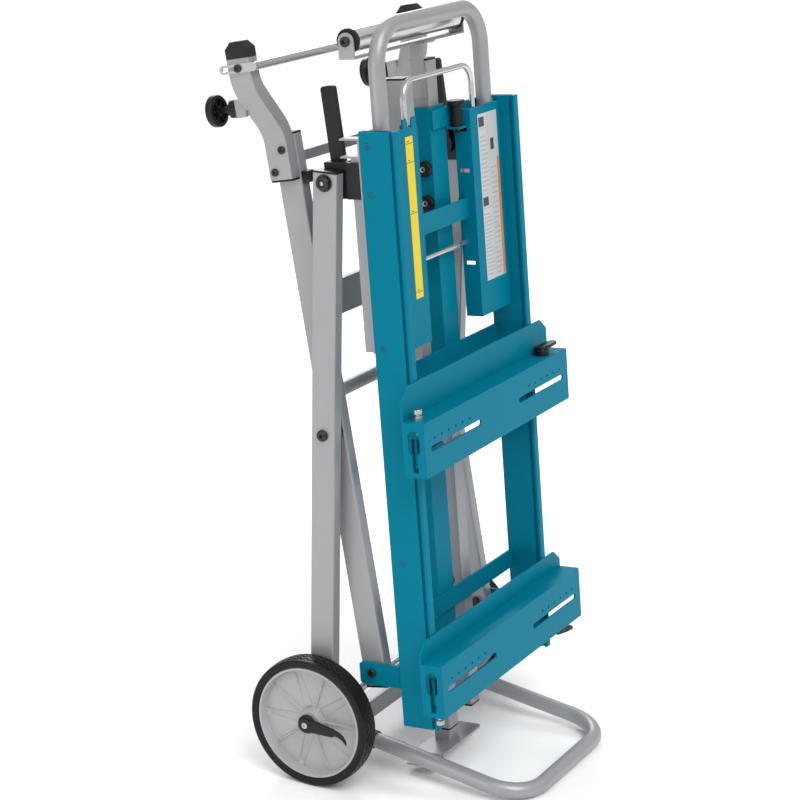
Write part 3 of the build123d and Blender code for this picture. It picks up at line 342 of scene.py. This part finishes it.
# ---------------------------------------------------------------- wheels
TYRE_R = 105.0
RIM_R = 91.0
TREAD_COLUMNS = 432
TREAD_BLOCKS = 54
TREAD_DEPTH = 1.7
TREAD_LINES = (-8.5, 0.0, 8.5)
TREAD_WAVE = 2.4
GROOVE_HALF = 1.15
CROWN_HALF = 13.5
CROWN_STEPS = 54
CROWN_EDGE = 0.8           # the crown's rows run on this far past its grooved width


def round_axle(x, radius, a):
    """Point x metres across, radius millimetres from the axle, at angle a back from the top."""
    return Vector((x, AXLE.y + radius * MM * math.sin(a), AXLE.z + radius * MM * math.cos(a)))


def zigzag(t):
    """Triangle wave of period 1 between -1 and 1."""
    t = t % 1.0
    return 4 * t - 1 if t < 0.5 else 3 - 4 * t


def tread(x, turn):
    """Depth of the tread's grooves at x across the crown, turn from 0 to 1 round the tyre."""
    if abs(x) > CROWN_HALF:
        return 0.0
    wave = zigzag(turn * TREAD_BLOCKS) * TREAD_WAVE
    for line in TREAD_LINES:
        if abs(x - line - wave) < GROOVE_HALF:
            return TREAD_DEPTH
    return 0.0


def tyre_profile():
    """(across, radius, on the crown) points from the inner bead, over the crown, to the outer bead."""
    side = [(-15.2, RIM_R), (-16.6, RIM_R + 1.2), (-17.2, RIM_R + 4.5), (-17.5, RIM_R + 6.5),
            (-17.1, RIM_R + 7.2), (-17.4, RIM_R + 8.0), (-16.9, RIM_R + 10.4), (-15.8, RIM_R + 12.4)]
    rows = [(x, r, False) for x, r in side]
    for i in range(CROWN_STEPS + 1):
        x = -CROWN_HALF - CROWN_EDGE + (2 * CROWN_HALF + 2 * CROWN_EDGE) * i / CROWN_STEPS
        rows.append((x, TYRE_R - 1.1 * (x / CROWN_HALF) ** 2, True))
    return rows + [(-x, r, False) for x, r in reversed(side)]


def make_tyre(name):
    """Tyre with zigzag grooves round its crown, in place of the plain CAD tyre."""
    low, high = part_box("tyre_" + name)
    middle = (low.x + high.x) / 2
    rows = tyre_profile()

    def point(r, c):
        x, radius, crown = rows[r]
        turn = c / TREAD_COLUMNS
        if crown:
            radius -= tread(x, turn)
        return round_axle(middle + x * MM, radius, 2 * math.pi * turn)
    verts, faces = ring_grid(len(rows), TREAD_COLUMNS, point)
    first = (len(rows) - 1) * TREAD_COLUMNS
    for c in range(TREAD_COLUMNS):
        d = (c + 1) % TREAD_COLUMNS
        faces.append((first + c, first + d, d, c))
    tyre = new_object("tyre_with_tread_" + name, verts, faces, [TYRE], "wheel_" + name)
    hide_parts("tyre_" + name)


RIB_COUNT = 5              # broad recesses, with as many thin ribs between them
DISH = 14.0
HUB_R = 19.0
HUB_LOW = 1.0              # the hub stands out this much less than DISH
RECESS_DEPTH = 5.0
RECESS_EDGE = 2.5
RIB_HEIGHT = 3.6
RIB_HALF = 2.0
HUB_BLEND = 5
RIM_COLUMNS = 360
RIM_PHASE = 0.35           # radians from the top to the first broad recess
BORE_R = 9.5


def rim_height(radius, turn):
    """How far the rim's outer face stands out from its dish at a radius, turn from 0 to 1 round it."""
    if radius <= HUB_R:
        return DISH - HUB_LOW
    wide = abs(((turn * RIB_COUNT + 0.5) % 1.0) - 0.5) / RIB_COUNT * 2 * math.pi * radius
    thin = abs((turn * RIB_COUNT) % 1.0 - 0.5) / RIB_COUNT * 2 * math.pi * radius
    reach = (radius - HUB_R) / (RIM_R - HUB_R)
    half_wide = 3.2 + 2.2 * (1 - reach)
    height = 0.0
    if wide < half_wide + RECESS_EDGE:
        height = -RECESS_DEPTH * min(1.0, (half_wide + RECESS_EDGE - wide) / RECESS_EDGE)
    if thin < RIB_HALF:
        height = RIB_HEIGHT * min(1.0, RIB_HALF - thin)
    if radius < HUB_R + HUB_BLEND:
        blend = (radius - HUB_R) / HUB_BLEND
        height = height * blend + (DISH - HUB_LOW) * (1 - blend) ** 2
    if radius > RIM_R - 12:
        height *= max(0.0, (RIM_R - 7 - radius) / 5)
    return height


def make_rim(side, name):
    """Rim with a ribbed outer dish and a plain hollow back, in place of the plain CAD rim."""
    low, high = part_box("rim_" + name)
    face = (high.x if side > 0 else low.x) / MM
    back = (low.x if side > 0 else high.x) / MM
    columns = RIM_COLUMNS
    radii = [BORE_R, 12, HUB_R - 0.6, HUB_R] + [HUB_R + 1 + i * 1.0 for i in range(6)]
    radii += [HUB_R + 8 + i * 4 for i in range(13)]
    outer = [(r, "dish") for r in radii if r < RIM_R - 7.2]
    outer += [(RIM_R - 7.0, "dish"), (RIM_R - 4.6, "wall"), (RIM_R - 4.0, "lip"),
              (RIM_R - 1.0, "lip"), (RIM_R - 0.2, "edge")]
    rows = len(outer)

    def point(r, c):
        radius, kind = outer[r]
        turn = c / columns
        dish = DISH + 1.5 - rim_height(radius, turn)
        depth = {"dish": dish, "wall": 3.0, "lip": 0.2, "edge": 1.0}[kind]
        return round_axle((face - side * depth) * MM, radius, 2 * math.pi * turn + RIM_PHASE)
    verts, faces = ring_grid(rows, columns, point)
    inner = [(RIM_R - 0.2, back + side * 1.0), (RIM_R - 1, back), (RIM_R - 4, back),
             (RIM_R - 5, back + side * 14), (HUB_R + 4, back + side * 17), (HUB_R, back + side * 4),
             (HUB_R - 1, back), (BORE_R, back)]

    def behind(r, c):
        radius, x = inner[r]
        return round_axle(x * MM, radius, 2 * math.pi * c / columns + RIM_PHASE)
    start = add_mesh(verts, faces, *ring_grid(len(inner), columns, behind))
    rim_edge, back_edge = (rows - 1) * columns, start
    bore, back_bore = 0, start + (len(inner) - 1) * columns
    for c in range(columns):
        d = (c + 1) % columns
        faces.append((rim_edge + c, rim_edge + d, back_edge + d, back_edge + c))
        faces.append((bore + d, bore + c, back_bore + c, back_bore + d))
    rim = new_object("ribbed_rim_" + name, verts, faces, [RIM], "wheel_" + name)
    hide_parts("rim_" + name)


LEVER_AIM = -5             # degrees above level that the arm points
ARM_SQUARE = 0.6           # 1 makes the arm's section an ellipse, less makes it squarer
ARM_COUNT = 20             # points round a section


def squared(value):
    return math.copysign(abs(value) ** ARM_SQUARE, value)


def make_lever(side, name):
    """Hub lever: a round cup and a tapering arm that curves down at its tip."""
    low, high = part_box("hub_lever_" + name)
    base = (low.x if side > 0 else high.x) / MM
    hub = Vector((base * MM, AXLE.y, AXLE.z))
    outward = Vector((side, 0, 0))
    tall = (high.x - low.x) / MM
    cup = [(0, 9.2), (0, 14.4), (0.6, 15), (tall * 0.4, 15), (tall * 0.5, 12.4), (tall - 1.0, 11.6),
           (tall, 10.4), (tall, 6.0), (tall - 1.4, 5.4), (tall - 1.6, 0.01)]
    verts, faces = lathe(cup, hub, outward, 48)
    # Arm sections: distance from the axle, sideways drop, half width, outer and inner height.
    low_side = tall - 10.5
    arm = [(4, 0, 10.4, tall - 0.6, low_side), (20, 0.4, 9.6, tall - 1.0, low_side),
           (38, 0.6, 8.2, tall - 1.8, low_side + 0.8),
           (49, 0.6, 7.0, tall - 2.6, low_side + 1.4), (53, 1.6, 4.9, tall - 3.4, low_side + 2.4),
           (60, 0.8, 4.6, tall - 3.6, low_side + 2.6), (67, -3.0, 4.2, tall - 3.8, low_side + 2.8),
           (72, -8.0, 3.4, tall - 4.2, low_side + 3.2), (74, -11, 2.0, tall - 4.8, low_side + 3.8)]
    aim = math.radians(LEVER_AIM)
    along = Vector((0, -math.cos(aim), math.sin(aim)))
    across = Vector((0, math.sin(aim), math.cos(aim)))
    count = ARM_COUNT
    start = len(verts)
    for reach, drop, half, top, bottom in arm:
        centre = hub + (along * reach + across * drop) * MM
        for i in range(count):
            a = 2 * math.pi * i / count
            w = squared(math.cos(a)) * half
            h = (top + bottom) / 2 + squared(math.sin(a)) * (top - bottom) / 2
            verts.append(centre + (across * w + outward * h) * MM)
    for r in range(len(arm) - 1):
        for i in range(count):
            j = (i + 1) % count
            a, b = start + r * count, start + (r + 1) * count
            faces.append((a + i, a + j, b + j, b + i))
    faces.append(tuple(start + i for i in range(count)))
    faces.append(tuple(start + (len(arm) - 1) * count + i for i in reversed(range(count))))
    lever = new_object("moulded_hub_lever_" + name, verts, faces, [PLASTIC], "hub_lever_" + name)
    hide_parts("hub_lever_" + name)
    pin = [(tall - 1.5, 5.2), (tall - 0.4, 5.0), (tall - 0.1, 4.0), (tall - 0.1, 2.2),
           (tall - 1.3, 2.0), (tall - 1.3, 0.01)]
    verts, faces = lathe(pin, hub, outward, 32)
    new_object("hub_pin_" + name, verts, faces, [ZINC], "hub_lever_" + name)


# ---------------------------------------------------------------- scale strip and label
FILM_N = 90.05             # just in front of the side plates
FILM_T = 0.35
INK_T = 0.08
# Numbers of the looks on the films, in the order of the object's materials.
STRIP, TICK, LABEL, LINE, BLOCK, EDGE = range(6)


def film_cell(verts, faces, x0, x1, v0, v1, lift=0.0):
    """Adds one thin rectangular block of film or ink on the side plates' faces."""
    start = len(verts)
    for n in (FILM_N + lift, FILM_N + lift + (INK_T if lift else FILM_T)):
        for x, v in ((x0, v0), (x1, v0), (x1, v1), (x0, v1)):
            verts.append(table(x, v, n))
    for f in ((3, 2, 1, 0), (4, 5, 6, 7), (0, 1, 5, 4), (1, 2, 6, 5), (2, 3, 7, 6), (3, 0, 4, 7)):
        faces.append(tuple(start + i for i in f))


def make_films():
    """Yellow scale strip with plain ticks, and a blank panelled label with an orange edge."""
    verts, faces, looks = [], [], []

    def cell(look, *where, lift=0.0):
        film_cell(verts, faces, *where, lift=lift)
        looks.extend([look] * 6)
    x0, x1, v0, v1 = -121.5, -99.5, 582.5, 825.5
    cell(STRIP, x0, x1, v0, v1)
    for v in (v0 + 9, v0 + 128, v0 + 204, v0 + 232):
        cell(TICK, x0 + 1, x1 - 1, v, v + 1.0, lift=FILM_T)
        cell(TICK, x0 + 5, x0 + 11, v + 3, v + 4.4, lift=FILM_T)
    x0, x1, v0, v1 = 106.5, 169.5, 562.5, 825.5
    cell(LABEL, x0, x1, v0, v1)
    middle = x0 + 31
    cell(EDGE, x1 - 7.5, x1 - 0.5, v0 + 1, v1 - 74, lift=FILM_T)
    cell(BLOCK, x0 + 2, x0 + 20, v1 - 20, v1 - 5, lift=FILM_T)
    cell(BLOCK, x0 + 2, x0 + 20, v0 + 118, v0 + 132, lift=FILM_T)
    cell(BLOCK, middle + 6, middle + 17, v1 - 60, v1 - 42, lift=FILM_T)
    for v in (v1 - 24, v0 + 136, v0 + 114):
        cell(LINE, x0 + 1, middle - 1, v, v + 0.9, lift=FILM_T)
    cell(LINE, middle, middle + 0.8, v0 + 3, v1 - 3, lift=FILM_T)
    for i in range(17):
        wide = 25 if i % 4 else 18
        cell(LINE, x0 + 3, x0 + 3 + wide, v0 + 8 + i * 6, v0 + 10 + i * 6, lift=FILM_T)
    for i in range(13):
        wide = 25 if i % 3 else 20
        cell(LINE, x0 + 3, x0 + 3 + wide, v0 + 142 + i * 7, v0 + 144 + i * 7, lift=FILM_T)
    for i in range(22):
        wide = 18 if i % 5 else 12
        cell(LINE, middle + 3, middle + 3 + wide, v0 + 6 + i * 8, v0 + 8 + i * 8, lift=FILM_T)
    materials = [YELLOW, DARK_INK, WHITE, GREY_INK, DARK_INK, ORANGE_INK]
    film = new_object("scale_strip_and_label", verts, faces, materials, "table",
                      smooth=False, look_index=looks)
    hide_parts("scale_and_label")


# ---------------------------------------------------------------- small added detail
# Distances up the table and in front of its lower pivot.
RIVET_PLACES = ((824, 70), (752, 70.5), (522.5, 71), (189, 76))


def make_rail_rivets():
    """Flush rivets on both rails' outer faces."""
    profile = [(-0.2, 5.2), (0.25, 4.9), (0.3, 4.4), (-0.1, 3.9), (-0.1, 1.6), (0.15, 1.2), (0.15, 0.02)]
    for side, name in SIDES:
        low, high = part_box("rail_" + name)
        face = (low.x if side < 0 else high.x) / MM
        verts, faces = [], []
        for v, n in RIVET_PLACES:
            add_mesh(verts, faces, *lathe(profile, table(face, v, n), (side, 0, 0), 32))
        new_object("rail_rivets_" + name, verts, faces, [DARK], "table")


KNOB_FACE = 5.5            # the round knobs' faces stand this far from the centre plane
KNOB_N = 44.0
# Side of the centre plane, and distance up the table.
KNOB_PLACES = ((1, 703), (1, 756), (-1, 63), (-1, 98))


def make_knob_screws():
    """Bright screw ends in the middle of the round knobs beside the guide channels."""
    verts, faces = [], []
    profile = [(-0.5, 4.6), (0.5, 4.4), (0.8, 3.6), (0.8, 2.4), (-0.6, 2.2), (-0.6, 0.01)]
    for side, v in KNOB_PLACES:
        centre = table(side * KNOB_FACE, v, KNOB_N)
        add_mesh(verts, faces, *lathe(profile, centre, (-side, 0, 0), 24))
    new_object("knob_screws", verts, faces, [ZINC], "table")


def make_pivot_caps():
    """Bright domed bolt heads with a drive recess, on the black washers of the legs' top pivots."""
    verts, faces = [], []
    low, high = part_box("top_pivot_bolts")
    profile = [(-3.2, 9.6), (-2.0, 9.4), (-0.6, 7.8), (0.0, 5.2), (0.0, 3.6), (-1.8, 3.4), (-1.8, 0.02)]
    for side, face in ((-1, low.x), (1, high.x)):
        centre = Vector((face, TOP_PIVOT.y, TOP_PIVOT.z))
        add_mesh(verts, faces, *lathe(profile, centre, (side, 0, 0), 48))
    new_object("top_pivot_heads", verts, faces, [ZINC], "wheel_legs")


def make_roller_rings():
    """Black end rings that cap both ends of the roller."""
    low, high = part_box("roller")
    centre = (low + high) / 2
    half = (high.x - low.x) / 2 / MM
    ring = [(half - 5.5, 17.2), (half - 5.5, 18.0), (half - 5.0, 18.4), (half, 18.4),
            (half + 0.6, 17.8), (half + 0.6, 5.0), (half - 0.6, 5.0), (half - 0.6, 17.2)]
    for side, name in SIDES:
        verts, faces = lathe(ring, centre, (side, 0, 0), 64, close=True)
        new_object("roller_ring_" + name, verts, faces, [RUBBER], "roller")


make_camera()
make_stage()
dress_nodes()
for wheel_side, wheel_name in SIDES:
    make_tyre(wheel_name)
    make_rim(wheel_side, wheel_name)
    make_lever(wheel_side, wheel_name)
make_films()
make_rail_rivets()
make_knob_screws()
make_pivot_caps()
make_roller_rings()
